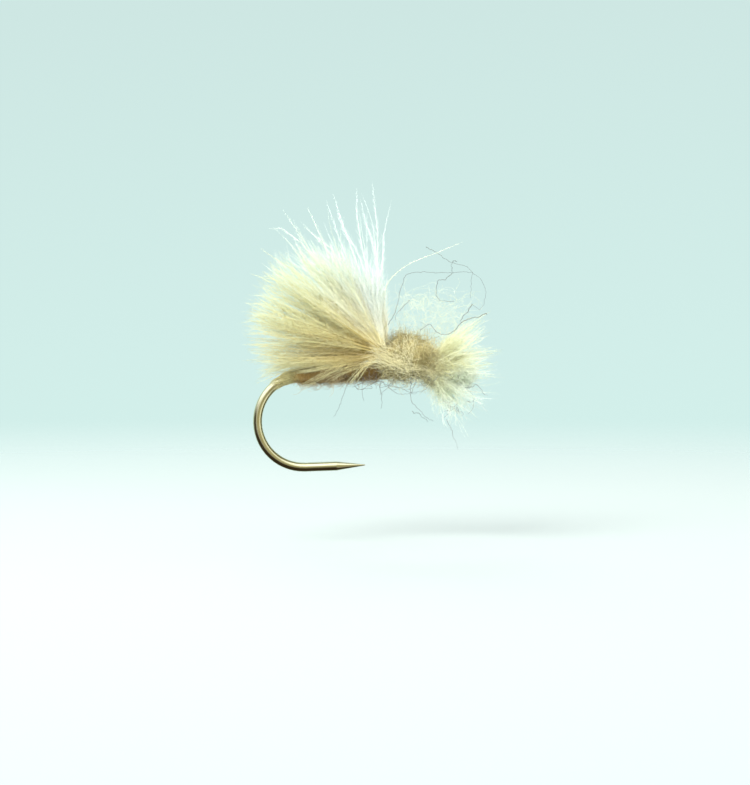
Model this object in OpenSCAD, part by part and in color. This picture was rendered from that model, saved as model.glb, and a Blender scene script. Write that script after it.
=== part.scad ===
// Dry fly on a light-wire hook, size 14: dubbed body, swept feather wing and a spun front hackle.
// Frame: the origin is the centre of the hook's eye, +X runs forward along the shank and out of
// the eye, +Z is up and +Y is the fly's left side, away from a viewer who sees the eye on the right.

/* [Hook] */
// Diameter of the hook wire
wire_d = 0.55; // [0.5:0.05:0.6]
// Distance between the centre lines of the shank and the spear
gape = 5.5; // [5.2:0.1:5.8]
// Length of the straight shank, from the eye to the start of the bend
shank_len = 8.5; // [8.4:0.1:9.2]
// Length of the straight part of the spear
spear_len = 1.9; // [1.5:0.1:2.2]
// Length of the tapered, barbless point
point_len = 1.7; // [1.4:0.1:2.0]
// Diameter of the needle-sharp end of the point
point_d = 0.06; // [0.04:0.01:0.1]

/* [Eye] */
// Radius of the eye ring, to the middle of its wire
eye_r = 0.66; // [0.64:0.01:0.68]
// Diameter of the eye's wire, drawn a little thinner than the shank
eye_wire_d = 0.48; // [0.46:0.01:0.5]
// Radius of the hole that the leader passes through
eye_hole_r = 0.45; // [0.44:0.01:0.46]
// How far the eye is bent down from the line of the shank, in degrees
eye_tilt = 30; // [26:1:32]

/* [Body] */
// Diameter over the layer of tying thread on the shank
base_d = 0.66; // [0.64:0.01:0.7]
// Length of the dubbed abdomen on the straight shank
abdomen_len = 4.6; // [4.4:0.05:4.6]
// Diameter of the abdomen at its thin rear end
abdomen_rear_d = 0.86; // [0.8:0.02:1.0]
// Largest diameter of the abdomen
abdomen_d = 1.3; // [1.1:0.05:1.4]
// How far the abdomen follows the bend, in degrees
abdomen_sweep = 13; // [8:1:16]
// Diameter of the dubbed thorax
thorax_d = 2.9; // [2.6:0.1:3.0]
// Length of the dubbed thorax
thorax_len = 1.85; // [1.75:0.01:1.85]
// How high the thorax sits above the shank, because it covers the butts of the wing
thorax_rise = 0.95; // [0.85:0.05:1.0]

/* [Wing] */
// Length of the feathers from where they are tied in to their tips
wing_len = 10.1; // [9:0.1:11]
// Angle of the lowest barbs above the rear of the shank, in degrees
wing_low_angle = -5; // [-5:1:0]
// Angle of the most upright barbs above the rear of the shank, in degrees
wing_high_angle = 88; // [80:1:90]
// Half of the wing's width across the fly, at the tips
wing_spread = 1.7; // [1.2:0.1:2.2]
// Diameter of the bundle of trimmed butts under the thorax
butts_d = 0.8; // [0.7:0.05:0.9]

/* [Hackle and head] */
// Thickness of the spun thread and fibre core of the hackle
core_d = 0.2; // [0.16:0.01:0.2]
// Turns of the core around the shank
core_turns = 3; // [2:1:3]
// How far the hackle reaches forward of the eye
hackle_reach = 3.0; // [2.6:0.1:3.4]
// Largest diameter of the thread head
head_d = 0.9; // [0.8:0.02:0.96]
// Thickness of the coat of head cement
cement_t = 0.04; // [0.03:0.01:0.05]

/* [Hidden] */

$fn = 64;
soft_fn = 28;

// Hook
shank_z = eye_r * sin(eye_tilt);
shank_front_x = -eye_r * cos(eye_tilt);
bend_x = shank_front_x - shank_len;
bend_r = gape / 2;
eye_blend_len = 0.3;
eye_blend_d = 0.34;

// Stations along the shank, from the eye backwards
whip_front_x = -0.8;
whip_rear_x = -0.92;
head_rear_x = -1.3;
base_front_x = -1.32;
core_front_x = -1.45;
core_pitch = 0.9 * core_d;
thorax_front_x = -1.95;
thorax_rear_x = thorax_front_x - thorax_len;
lash_len = 0.5;
lash_rear_x = thorax_rear_x - 0.04 - lash_len;
base_sweep = abdomen_sweep + 9;

// Wing
plume_count = 4;
plume_gap = 2.6;
plume_span = (wing_high_angle - wing_low_angle - (plume_count - 1) * plume_gap) / plume_count;
plume_root_r = 0.55;
plume_root_d = 0.18;
plume_tip_d = 0.9;
plume_lengths = [0.9, 0.94, 1.04, 1.0];
tie_in_x = -4.05;
tie_in_z = shank_z + 1.4;
butts_z = shank_z + base_d / 2 + butts_d / 2 + 0.01;
butts_front_d = 0.45 * butts_d;
butts_front_x = thorax_front_x - 0.35;
lash_t = 0.1;

dubbing_colour = [0.51, 0.44, 0.24];
thorax_colour = [0.69, 0.66, 0.45];
wing_colour = [0.84, 0.83, 0.62];
hackle_colour = [0.88, 0.91, 0.82];
thread_colour = [0.58, 0.53, 0.38];

// Turns a shape that stands on +Z so that it lies along the shank, starting at station x.
module on_shank(x, z = shank_z) {
    translate([x, 0, z]) rotate([0, 90, 0]) children();
}

// An arc of round section that follows the bend for the given angle, from the end of the shank.
module bend_arc(d, angle) {
    translate([bend_x, 0, shank_z - bend_r])
        rotate([90, 0, 0])
            rotate([0, 0, 90])
                rotate_extrude(angle = angle) translate([bend_r, 0]) circle(d = d);
}

// The eye's own plane: +Z of the children is the line of the hole.
module on_eye() {
    rotate([0, eye_tilt, 0]) children();
}

// The wire's path under the dressing, used to cut the bore of each layer wound on it.
module wire_path(d) {
    on_shank(bend_x) cylinder(h = shank_len, d = d);
    bend_arc(d, 40);
}

module hook() {
    color([0.76, 0.75, 0.62]) difference() {
        union() {
            on_shank(bend_x) cylinder(h = shank_len - eye_blend_len / 2, d = wire_d);
            on_shank(shank_front_x - eye_blend_len / 2)
                cylinder(h = eye_blend_len, d1 = wire_d, d2 = eye_blend_d);
            bend_arc(wire_d, 180);
            on_shank(bend_x, shank_z - gape) cylinder(h = spear_len, d = wire_d);
            on_shank(bend_x + spear_len, shank_z - gape)
                cylinder(h = point_len, d1 = wire_d, d2 = point_d);
            on_eye() rotate_extrude() translate([eye_r, 0]) circle(d = eye_wire_d);
        }
        on_eye() cylinder(h = 3 * eye_wire_d, r = eye_hole_r, center = true);
    }
}

module thread_base() {
    color(thread_colour) difference() {
        union() {
            on_shank(bend_x) cylinder(h = base_front_x - bend_x, d = base_d);
            bend_arc(base_d, base_sweep);
        }
        wire_path(wire_d);
    }
}

module abdomen_dubbing() {
    rear_r = abdomen_rear_d / 2;
    full_r = abdomen_d / 2;
    color(dubbing_colour) difference() {
        union() {
            bend_arc(abdomen_rear_d, abdomen_sweep);
            on_shank(bend_x) rotate_extrude() polygon([
                [0, 0], [rear_r, 0], [0.88 * full_r, 0.2 * abdomen_len], [full_r, 0.6 * abdomen_len],
                [full_r, 0.9 * abdomen_len], [0.8 * full_r, abdomen_len], [0, abdomen_len]
            ]);
        }
        wire_path(base_d);
    }
}

// One feather of the wing: a fan of barbs from the tie-in, between two angles above the rear.
module wing_plume(index) {
    low = wing_low_angle + index * (plume_span + plume_gap);
    tip_r = plume_lengths[index] * wing_len - plume_tip_d / 2;
    inset = asin(plume_tip_d / 2 / tip_r);
    middle = low + plume_span / 2;
    translate([tie_in_x, 0, tie_in_z]) color(wing_colour) hull() {
        for (side = [-1, 1]) {
            rotate([0, middle, 0])
                translate([-plume_root_r, side * plume_root_d, 0]) sphere(d = plume_root_d, $fn = soft_fn);
            for (angle = [low + inset, low + plume_span - inset]) {
                rotate([0, angle, 0])
                    translate([-tip_r, side * (wing_spread - plume_tip_d / 2), 0])
                        sphere(d = plume_tip_d, $fn = soft_fn);
            }
        }
    }
}

module wing_plume_low() {
    wing_plume(0);
}

module wing_plume_middle() {
    wing_plume(1);
}

module wing_plume_high() {
    wing_plume(2);
}

module wing_plume_upright() {
    wing_plume(3);
}

// The butts run level through the lashing, then taper forward under the thorax.
module butts_shape() {
    on_shank(lash_rear_x - 0.04, butts_z)
        cylinder(h = thorax_rear_x - lash_rear_x + 0.04, d = butts_d);
    on_shank(thorax_rear_x, butts_z)
        cylinder(h = butts_front_x - thorax_rear_x, d1 = butts_d, d2 = butts_front_d);
}

module wing_butts() {
    color(wing_colour) butts_shape();
}

// Thread turns drawn tight around the shank and the wing's butts together.
module wing_lashing() {
    outer_base_r = base_d / 2 + lash_t;
    outer_butts_r = butts_d / 2 + lash_t;
    color(thread_colour) difference() {
        on_shank(lash_rear_x) linear_extrude(height = lash_len) union() {
            circle(r = outer_base_r);
            translate([shank_z - butts_z, 0]) circle(r = outer_butts_r);
            translate([shank_z - butts_z, -outer_base_r])
                square([butts_z - shank_z, 2 * outer_base_r]);
        }
        wire_path(base_d);
        butts_shape();
    }
}

module thorax_dubbing() {
    r = thorax_d / 2;
    color(thorax_colour) difference() {
        union() {
            on_shank(thorax_rear_x, shank_z + thorax_rise) rotate_extrude() polygon([
                [0, 0], [0.72 * r, 0], [0.93 * r, 0.18 * thorax_len], [r, 0.42 * thorax_len],
                [0.93 * r, 0.7 * thorax_len], [0.66 * r, thorax_len], [0, thorax_len]
            ]);
            on_shank(thorax_rear_x) cylinder(h = thorax_len, d = base_d + 0.4);
        }
        wire_path(base_d);
        butts_shape();
    }
}

module hackle_core() {
    color(thread_colour) difference() {
        union() {
            for (turn = [0 : core_turns - 1]) {
                on_shank(core_front_x - turn * core_pitch)
                    rotate_extrude() translate([base_d / 2 + 0.45 * core_d, 0]) circle(d = core_d);
            }
        }
        wire_path(base_d);
    }
}

// A tuft of the spun hackle: it leaves the core at the first ball and fans out to the others.
module hackle_tuft(balls) {
    color(hackle_colour) hull() {
        for (ball = balls) {
            translate([ball[0], ball[1], ball[2]]) sphere(d = ball[3], $fn = soft_fn);
        }
    }
}

// side is -1 for the near side of the fly and 1 for its far side.
module hackle_upper(side) {
    hackle_tuft([
        [core_front_x, 0.36 * side, shank_z + 0.7, 0.3],
        [hackle_reach, 0.7 * side, shank_z + 2.7, 0.9],
        [0.9 * hackle_reach, 1.9 * side, shank_z + 1.5, 0.9],
        [0.2 * hackle_reach, 1.5 * side, shank_z + 2.6, 0.9]
    ]);
}

module hackle_lower(side) {
    hackle_tuft([
        [core_front_x, 0.62 * side, shank_z - 0.3, 0.24],
        [0.75 * hackle_reach, 1.5 * side, shank_z - 2.6, 0.8],
        [0.1 * hackle_reach, 1.4 * side, shank_z - 3.7, 0.7],
        [0.8 * hackle_reach, 2.6 * side, shank_z - 0.7, 0.8],
        [0, 2.5 * side, shank_z - 2.2, 0.7]
    ]);
}

module hackle_upper_near() {
    hackle_upper(-1);
}

module hackle_upper_far() {
    hackle_upper(1);
}

module hackle_lower_near() {
    hackle_lower(-1);
}

module hackle_lower_far() {
    hackle_lower(1);
}

// Outline of the head from its rear, grown outwards by skin.
module head_outline(skin) {
    r = head_d / 2;
    len = whip_rear_x - head_rear_x;
    polygon([
        [0, 0], [0.8 * r + skin, 0], [r + skin, 0.3 * len], [0.96 * r + skin, 0.65 * len],
        [0.76 * r + skin, len], [0, len]
    ]);
}

module head_thread() {
    color(thread_colour) difference() {
        on_shank(head_rear_x) rotate_extrude() head_outline(0);
        wire_path(wire_d);
    }
}

module whip_finish() {
    len = whip_front_x - whip_rear_x;
    color(thread_colour) difference() {
        on_shank(whip_rear_x) cylinder(h = len, d1 = 0.74 * head_d, d2 = 0.7 * head_d);
        wire_path(wire_d);
    }
}

module head_cement() {
    color([0.75, 0.7, 0.55, 0.5]) difference() {
        on_shank(head_rear_x) rotate_extrude() head_outline(cement_t);
        on_shank(head_rear_x) rotate_extrude() head_outline(0);
    }
}

hook();
thread_base();
abdomen_dubbing();
wing_plume_low();
wing_plume_middle();
wing_plume_high();
wing_plume_upright();
wing_butts();
wing_lashing();
thorax_dubbing();
hackle_core();
hackle_upper_near();
hackle_upper_far();
hackle_lower_near();
hackle_lower_far();
head_thread();
whip_finish();
head_cement();
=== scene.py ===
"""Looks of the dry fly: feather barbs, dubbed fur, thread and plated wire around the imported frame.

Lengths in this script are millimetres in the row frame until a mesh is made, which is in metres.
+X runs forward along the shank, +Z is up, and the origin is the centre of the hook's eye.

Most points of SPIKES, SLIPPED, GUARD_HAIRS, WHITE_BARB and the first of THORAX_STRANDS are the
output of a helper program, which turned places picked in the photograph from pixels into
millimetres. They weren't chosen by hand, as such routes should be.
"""
import math

import bpy
import numpy as np
from mathutils import Euler, Matrix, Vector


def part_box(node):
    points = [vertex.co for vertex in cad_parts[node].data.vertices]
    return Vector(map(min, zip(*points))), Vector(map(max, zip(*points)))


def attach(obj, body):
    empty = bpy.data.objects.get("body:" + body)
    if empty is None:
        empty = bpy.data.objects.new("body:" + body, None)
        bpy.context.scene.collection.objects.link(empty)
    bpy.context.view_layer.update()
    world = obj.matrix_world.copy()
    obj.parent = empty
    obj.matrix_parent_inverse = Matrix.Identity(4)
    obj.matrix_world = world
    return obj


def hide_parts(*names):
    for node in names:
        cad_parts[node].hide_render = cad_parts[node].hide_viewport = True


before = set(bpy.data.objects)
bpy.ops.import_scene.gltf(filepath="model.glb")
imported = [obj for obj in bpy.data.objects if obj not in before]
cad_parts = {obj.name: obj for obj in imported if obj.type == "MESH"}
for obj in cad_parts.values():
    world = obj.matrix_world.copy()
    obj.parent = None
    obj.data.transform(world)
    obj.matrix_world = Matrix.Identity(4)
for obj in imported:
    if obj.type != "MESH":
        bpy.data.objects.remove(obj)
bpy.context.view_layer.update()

MM = 0.001
TAU = 2 * math.pi
UV_LAYER = "OFBake"


# ---- places read from the frame
def box_mm(node):
    low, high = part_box(node)
    return np.array(low) / MM, np.array(high) / MM


HEAD_LOW, HEAD_HIGH = box_mm("head_thread")
WHIP_LOW, WHIP_HIGH = box_mm("whip_finish")
HOOK_LOW = box_mm("hook")[0]
ABDOMEN_LOW, ABDOMEN_HIGH = box_mm("abdomen_dubbing")
THORAX_LOW, THORAX_HIGH = box_mm("thorax_dubbing")
LASH_LOW, LASH_HIGH = box_mm("wing_lashing")
CORE_LOW, CORE_HIGH = box_mm("hackle_core")
BASE_LOW, BASE_HIGH = box_mm("thread_base")

SHANK_Z = (HEAD_LOW[2] + HEAD_HIGH[2]) / 2
WIRE_R = 0.275
BEND_R = 2.75
BEND_X = HOOK_LOW[0] + BEND_R + WIRE_R
TIE_IN = np.array([LASH_HIGH[0] - 0.2, 0, LASH_HIGH[2] + 0.05])


# ---- vectors and curves
def unit(v):
    return v / np.maximum(np.linalg.norm(v, axis=-1, keepdims=True), 1e-12)


def taper(radius, tip, rings):
    """Radii from radius down to its share tip."""
    return radius * np.linspace(1, tip, rings)


def across(v, tangent):
    """The part of v that is square to tangent, at length 1."""
    return unit(v - (v * tangent).sum(-1, keepdims=True) * tangent)


def turned(v, axis, angle):
    """v turned about a unit axis."""
    return (v * np.cos(angle) + np.cross(axis, v) * np.sin(angle)
            + axis * (axis * v).sum(-1, keepdims=True) * (1 - np.cos(angle)))


def smooth_path(points, count):
    """A Catmull-Rom curve through given points, as count evenly spaced points."""
    p = np.array(points, float)
    p = np.vstack([2 * p[0] - p[1], p, 2 * p[-1] - p[-2]])
    fine = []
    for a, b, c, d in zip(p[:-3], p[1:-2], p[2:-1], p[3:]):
        t = np.linspace(0, 1, 24, endpoint=False)[:, None]
        fine.append(0.5 * (2 * b + (c - a) * t + (2 * a - 5 * b + 4 * c - d) * t ** 2
                           + (3 * b - a - 3 * c + d) * t ** 3))
    fine = np.vstack(fine + [p[-2:-1]])
    steps = np.concatenate([[0], np.cumsum(np.linalg.norm(np.diff(fine, axis=0), axis=1))])
    at = np.linspace(0, steps[-1], count)
    return np.stack([np.interp(at, steps, fine[:, k]) for k in range(3)], axis=1)


def sample_along(points, t):
    """Places and directions on strands (n, rings, 3) at t (n, m) from 0 to 1."""
    rings = points.shape[1]
    place = np.clip(t, 0, 1) * (rings - 1)
    index = np.minimum(place.astype(int), rings - 2)
    part = (place - index)[..., None]
    rows = np.arange(points.shape[0])[:, None]
    start, end = points[rows, index], points[rows, index + 1]
    return start + (end - start) * part, unit(end - start)


def curly(rng, roots, heading, lengths, turn, steps, wander=0.3):
    """Strands that bend evenly about a wandering axis; turn is each one's whole turn in radians."""
    heading = unit(heading)
    axis = across(rng.normal(size=heading.shape), heading)
    points = [roots]
    for _ in range(steps):
        points.append(points[-1] + heading * (lengths / steps)[:, None])
        heading = unit(turned(heading, axis, (turn / steps)[:, None]))
        axis = unit(axis + wander * rng.normal(size=axis.shape))
    return np.stack(points, axis=1)


# ---- meshes
class Fibres:
    """Many thin closed tubes that become one mesh.

    Each fibre's UV holds its own shade across and the place along it, which the materials read.
    """
    SHADE_WIDTH = 0.02

    def __init__(self):
        self.coords, self.uvs, self.quads, self.triangles, self.total = [], [], [], [], 0

    def add(self, points, radii, shade, along=None, sides=3, pointed=True):
        """points (n, rings, 3), radii (n, rings) or one for all, shade (n,), along (n, rings)."""
        points = np.asarray(points, float)
        n, rings, _ = points.shape
        radii = np.broadcast_to(radii, (n, rings))
        if along is None:
            along = np.linspace(0, 1, rings)
        along = np.clip(np.broadcast_to(along, (n, rings)), 0, 1)
        shade = np.clip(np.asarray(shade, float), 0, 1 - self.SHADE_WIDTH)
        tangent = unit(np.gradient(points, axis=1))
        axis = np.zeros((n, 3))
        axis[np.arange(n), np.abs(tangent[:, 0]).argmin(1)] = 1
        normal = np.empty_like(points)
        normal[:, 0] = across(axis, tangent[:, 0])
        for k in range(1, rings):
            normal[:, k] = across(normal[:, k - 1], tangent[:, k])
        other = np.cross(tangent, normal)
        hoops = rings - 1 if pointed else rings
        turn = np.arange(sides) * TAU / sides
        ring = (np.cos(turn)[:, None] * normal[:, :hoops, None]
                + np.sin(turn)[:, None] * other[:, :hoops, None])
        coords = (points[:, :hoops, None] + radii[:, :hoops, None, None] * ring).reshape(n, -1, 3)
        uv = np.empty((n, hoops, sides, 2))
        uv[..., 0] = shade[:, None, None] + self.SHADE_WIDTH * np.arange(sides) / sides
        uv[..., 1] = along[:, :hoops, None]
        uv = uv.reshape(n, -1, 2)
        if pointed:
            coords = np.concatenate([coords, points[:, -1:]], axis=1)
            tip = np.stack([shade + self.SHADE_WIDTH / 2, along[:, -1]], axis=-1)
            uv = np.concatenate([uv, tip[:, None]], axis=1)
        each = coords.shape[1]
        base = self.total + np.arange(n)[:, None, None] * each
        step = base + np.arange(hoops - 1)[None, :, None] * sides
        here, after = np.arange(sides), (np.arange(sides) + 1) % sides
        self.quads.append(np.stack([step + here, step + after, step + after + sides,
                                    step + here + sides], axis=-1).reshape(-1, 4))
        fan = np.arange(1, sides - 1)
        first, last = base[:, :, 0], base[:, :, 0] + (hoops - 1) * sides
        if pointed:
            far_end = [last + here, last + after, last + sides + 0 * here]
        else:
            far_end = [last + 0 * fan, last + fan, last + fan + 1]
        for end in ([first + 0 * fan, first + fan + 1, first + fan], far_end):
            self.triangles.append(np.stack(end, -1).reshape(-1, 3))
        self.coords.append(coords.reshape(-1, 3))
        self.uvs.append(uv.reshape(-1, 2))
        self.total += n * each

    def build(self, name, material):
        quads, triangles = np.vstack(self.quads), np.vstack(self.triangles)
        loops = np.concatenate([quads.ravel(), triangles.ravel()])
        uvs = np.vstack(self.uvs)[loops]
        return mesh_object(name, np.vstack(self.coords), quads, triangles, uvs, material)


def mesh_object(name, coords, quads, triangles, loop_uvs, material):
    mesh = bpy.data.meshes.new(name)
    loops = np.concatenate([quads.ravel(), triangles.ravel()]).astype(np.int32)
    starts = np.concatenate([np.arange(len(quads)) * 4,
                             len(quads) * 4 + np.arange(len(triangles)) * 3])
    mesh.vertices.add(len(coords))
    mesh.vertices.foreach_set("co", (coords * MM).astype(np.float32).ravel())
    mesh.loops.add(len(loops))
    mesh.loops.foreach_set("vertex_index", loops)
    mesh.polygons.add(len(starts))
    mesh.polygons.foreach_set("loop_start", starts.astype(np.int32))
    mesh.polygons.foreach_set("use_smooth", np.ones(len(starts), bool))
    layer = mesh.uv_layers.new(name=UV_LAYER)
    layer.data.foreach_set("uv", loop_uvs.astype(np.float32).ravel())
    mesh.update(calc_edges=True)
    mesh.validate()
    mesh.materials.append(material)
    obj = bpy.data.objects.new(name, mesh)
    bpy.context.collection.objects.link(obj)
    return obj


def lathe(name, section, stations, around, material):
    """A closed skin over stations x around points, where section(s, phi) gives places."""
    s, phi = np.meshgrid(stations, np.arange(around) * TAU / around, indexing="ij")
    coords = section(s, phi).reshape(-1, 3)
    count = len(coords)
    coords = np.vstack([coords, coords[:around].mean(0), coords[-around:].mean(0)])
    rows, here = np.meshgrid(np.arange(len(stations) - 1), np.arange(around), indexing="ij")
    after = (here + 1) % around
    quads = np.stack([rows * around + here, rows * around + after,
                      (rows + 1) * around + after, (rows + 1) * around + here], -1).reshape(-1, 4)
    left, right = here / around, (here + 1) / around
    low, high = rows / (len(stations) - 1), (rows + 1) / (len(stations) - 1)
    corners = ((left, low), (right, low), (right, high), (left, high))
    quad_uvs = np.stack([np.stack(corner, -1) for corner in corners], -2).reshape(-1, 2)
    here, after = np.arange(around), (np.arange(around) + 1) % around
    end = count - around
    fans = np.vstack([np.stack([after, here, 0 * here + count], -1),
                      np.stack([end + here, end + after, 0 * here + count + 1], -1)])
    fan_uvs = [np.stack([np.stack([(here + shift) / around, 0 * here + edge], -1) for shift in shifts], 1)
               for edge, shifts in ((0, (1, 0, 0.5)), (1, (0, 1, 0.5)))]
    fan_uvs = np.concatenate(fan_uvs).reshape(-1, 2)
    return mesh_object(name, coords, quads, fans, np.concatenate([quad_uvs, fan_uvs]), material)


def place(obj, slot, *nodes):
    """obj stands for the CAD nodes, which are hidden, and hangs from the root body. slot is not used."""
    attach(obj, "root")
    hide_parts(*nodes)


# ---- materials
# Places of the colour sockets of a Mix node.
MIX_COLOUR_INPUTS = (6, 7)
MIX_COLOUR_OUTPUT = 2


def linear(rgb):
    """A colour given as 0-255 screen values, as linear light with alpha 1."""
    c = np.array(rgb, float) / 255
    c = np.where(c <= 0.04045, c / 12.92, ((c + 0.055) / 1.055) ** 2.4)
    return (*c.tolist(), 1.0)


def set_inputs(node, values):
    for name, value in values.items():
        node.inputs[name].default_value = value


def new_material(name, roughness, metallic=0.0):
    material = bpy.data.materials.new(name)
    material.use_nodes = True
    shader = material.node_tree.nodes["Principled BSDF"]
    set_inputs(shader, {"Roughness": roughness, "Metallic": metallic})
    return material, material.node_tree.nodes, material.node_tree.links, shader


def ramp(nodes, stops):
    node = nodes.new("ShaderNodeValToRGB")
    while len(node.color_ramp.elements) < len(stops):
        node.color_ramp.elements.new(0.5)
    for element, (position, colour) in zip(node.color_ramp.elements, stops):
        element.position = position
        element.color = linear(colour)
    return node


def mix_colours(nodes, links, factor, *colours):
    """A mix of two colours by the socket factor; each colour is a socket or a fixed value."""
    node = nodes.new("ShaderNodeMix")
    node.data_type = "RGBA"
    links.new(factor, node.inputs["Factor"])
    for colour, socket in zip(colours, MIX_COLOUR_INPUTS):
        if isinstance(colour, bpy.types.NodeSocket):
            links.new(colour, node.inputs[socket])
        else:
            node.inputs[socket].default_value = colour
    return node.outputs[MIX_COLOUR_OUTPUT]


def mix_shaders(nodes, links, factor, first, second):
    """A mix of two shaders by factor, a socket or a fixed number."""
    node = nodes.new("ShaderNodeMixShader")
    if isinstance(factor, float):
        node.inputs["Fac"].default_value = factor
    else:
        links.new(factor, node.inputs["Fac"])
    links.new(first, node.inputs[1])
    links.new(second, node.inputs[2])
    return node.outputs["Shader"]


def map_range(nodes, links, value, low, high, to_low=0.0, to_high=1.0):
    node = nodes.new("ShaderNodeMapRange")
    set_inputs(node, {"From Min": low, "From Max": high, "To Min": to_low, "To Max": to_high})
    links.new(value, node.inputs["Value"])
    return node


def fibre_material(name, bands, roughness=0.6, sheen=0.2, through=0.4):
    """Fibre colour by place: bands are (place along, dark, light), mixed by each fibre's own shade.

    through is how much of the light passes into the fibre and out at the back.
    """
    material, nodes, links, shader = new_material(name, roughness)
    uv = nodes.new("ShaderNodeUVMap")
    uv.uv_map = UV_LAYER
    split = nodes.new("ShaderNodeSeparateXYZ")
    links.new(uv.outputs["UV"], split.inputs["Vector"])
    tones = []
    for column in (1, 2):
        band = ramp(nodes, [(row[0], row[column]) for row in bands])
        links.new(split.outputs["Y"], band.inputs["Fac"])
        tones.append(band.outputs["Color"])
    colour = mix_colours(nodes, links, split.outputs["X"], *tones)
    links.new(colour, shader.inputs["Base Color"])
    set_inputs(shader, {"Sheen Weight": sheen, "Sheen Roughness": 0.4, "Specular IOR Level": 0.3})
    glow = nodes.new("ShaderNodeBsdfTranslucent")
    links.new(colour, glow.inputs["Color"])
    both = mix_shaders(nodes, links, through, shader.outputs["BSDF"], glow.outputs["BSDF"])
    links.new(both, nodes["Material Output"].inputs["Surface"])
    return material


def noise(nodes, links, scale, detail=4.0, stretch=(1, 1, 1)):
    where = nodes.new("ShaderNodeTexCoord")
    mapping = nodes.new("ShaderNodeMapping")
    mapping.inputs["Scale"].default_value = stretch
    texture = nodes.new("ShaderNodeTexNoise")
    set_inputs(texture, {"Scale": scale, "Detail": detail})
    links.new(where.outputs["Object"], mapping.inputs["Vector"])
    links.new(mapping.outputs["Vector"], texture.inputs["Vector"])
    return texture


def bump(nodes, links, shader, height, strength, distance):
    node = nodes.new("ShaderNodeBump")
    set_inputs(node, {"Strength": strength, "Distance": distance})
    links.new(height, node.inputs["Height"])
    links.new(node.outputs["Normal"], shader.inputs["Normal"])


def blotches(nodes, links, shader, scale, detail, stops):
    """A base colour that changes in soft blotches."""
    texture = noise(nodes, links, scale, detail)
    colours = ramp(nodes, stops)
    links.new(texture.outputs["Fac"], colours.inputs["Fac"])
    links.new(colours.outputs["Color"], shader.inputs["Base Color"])


def fur_skin_material(name, low, high):
    """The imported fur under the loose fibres: blotched, matte and finely creased."""
    material, nodes, links, shader = new_material(name, 0.9)
    blotches(nodes, links, shader, 2600, 6, [(0.35, low), (0.7, high)])
    creases = noise(nodes, links, 9000, 4, (0.3, 1, 1))
    bump(nodes, links, shader, creases.outputs["Fac"], 0.7, 0.00003)
    shader.inputs["Sheen Weight"].default_value = 0.3
    return material


def wire_material():
    """Pale champagne plating over drawn wire: bright, with faint draw lines and small soft spots."""
    material, nodes, links, shader = new_material("hook_wire", 0.2, 1.0)
    blotches(nodes, links, shader, 900, 5, [(0.3, (224, 223, 194)), (0.75, (244, 243, 220))])
    wear = noise(nodes, links, 2400, 6)
    rough = map_range(nodes, links, wear.outputs["Fac"], 0.3, 0.7, 0.1, 0.22)
    links.new(rough.outputs["Result"], shader.inputs["Roughness"])
    lines = noise(nodes, links, 5000, 3, (0.08, 1, 0.25))
    bump(nodes, links, shader, lines.outputs["Fac"], 0.12, 0.00001)
    return material


def varnish_material():
    material, nodes, links, shader = new_material("varnish", 0.06)
    set_inputs(shader, {"Base Color": linear((214, 200, 158)), "Transmission Weight": 0.9, "IOR": 1.48})
    ripple = noise(nodes, links, 1500, 2)
    bump(nodes, links, shader, ripple.outputs["Fac"], 0.2, 0.00002)
    return material


# ---- camera, stage and light
PIXELS_HIGH = 785
SCALE_PX_PER_MM = 16.7
LENS = 100.0
SENSOR = 36.0
CAMERA_AIM = np.array([-4.72, 0.0, -0.85])
CAMERA_ELEVATION = 2.0
CAMERA_ROLL = 2.1
FLOOR_DROP = 4.5
FLOOR_RADIUS = 2.0
FLOOR_FADE = (0.012, 0.17)
LIGHTING_STRENGTH = 1.65
MIRROR_STRENGTH = 1.12
OVERHEAD_STRENGTH = 1.5
# name, direction that it comes from, distance m, size m, power W, colour
LIGHTS = [
    ("key", (-0.45, -0.65, 0.7), 0.35, 0.22, 1.9, (1.0, 0.98, 0.94)),
    ("front", (0.25, -1.0, 0.1), 0.45, 0.3, 1.4, (1.0, 0.99, 0.97)),
    ("back", (-0.2, 0.8, 0.55), 0.4, 0.25, 0.85, (1.0, 1.0, 1.0)),
]


def make_camera():
    data = bpy.data.cameras.new("camera")
    data.lens = LENS
    data.sensor_width = SENSOR
    data.clip_start = 0.005
    data.clip_end = 20
    camera = bpy.data.objects.new("camera", data)
    distance = PIXELS_HIGH / SCALE_PX_PER_MM * LENS / SENSOR
    tilt = math.radians(CAMERA_ELEVATION)
    back = np.array([0, -math.cos(tilt), math.sin(tilt)])
    camera.location = ((CAMERA_AIM + distance * back) * MM).tolist()
    level = Euler((math.pi / 2 - tilt, 0, 0)).to_matrix()
    camera.rotation_euler = (level @ Matrix.Rotation(-math.radians(CAMERA_ROLL), 3, "Z")).to_euler()
    bpy.context.collection.objects.link(camera)
    bpy.context.scene.camera = camera


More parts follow.
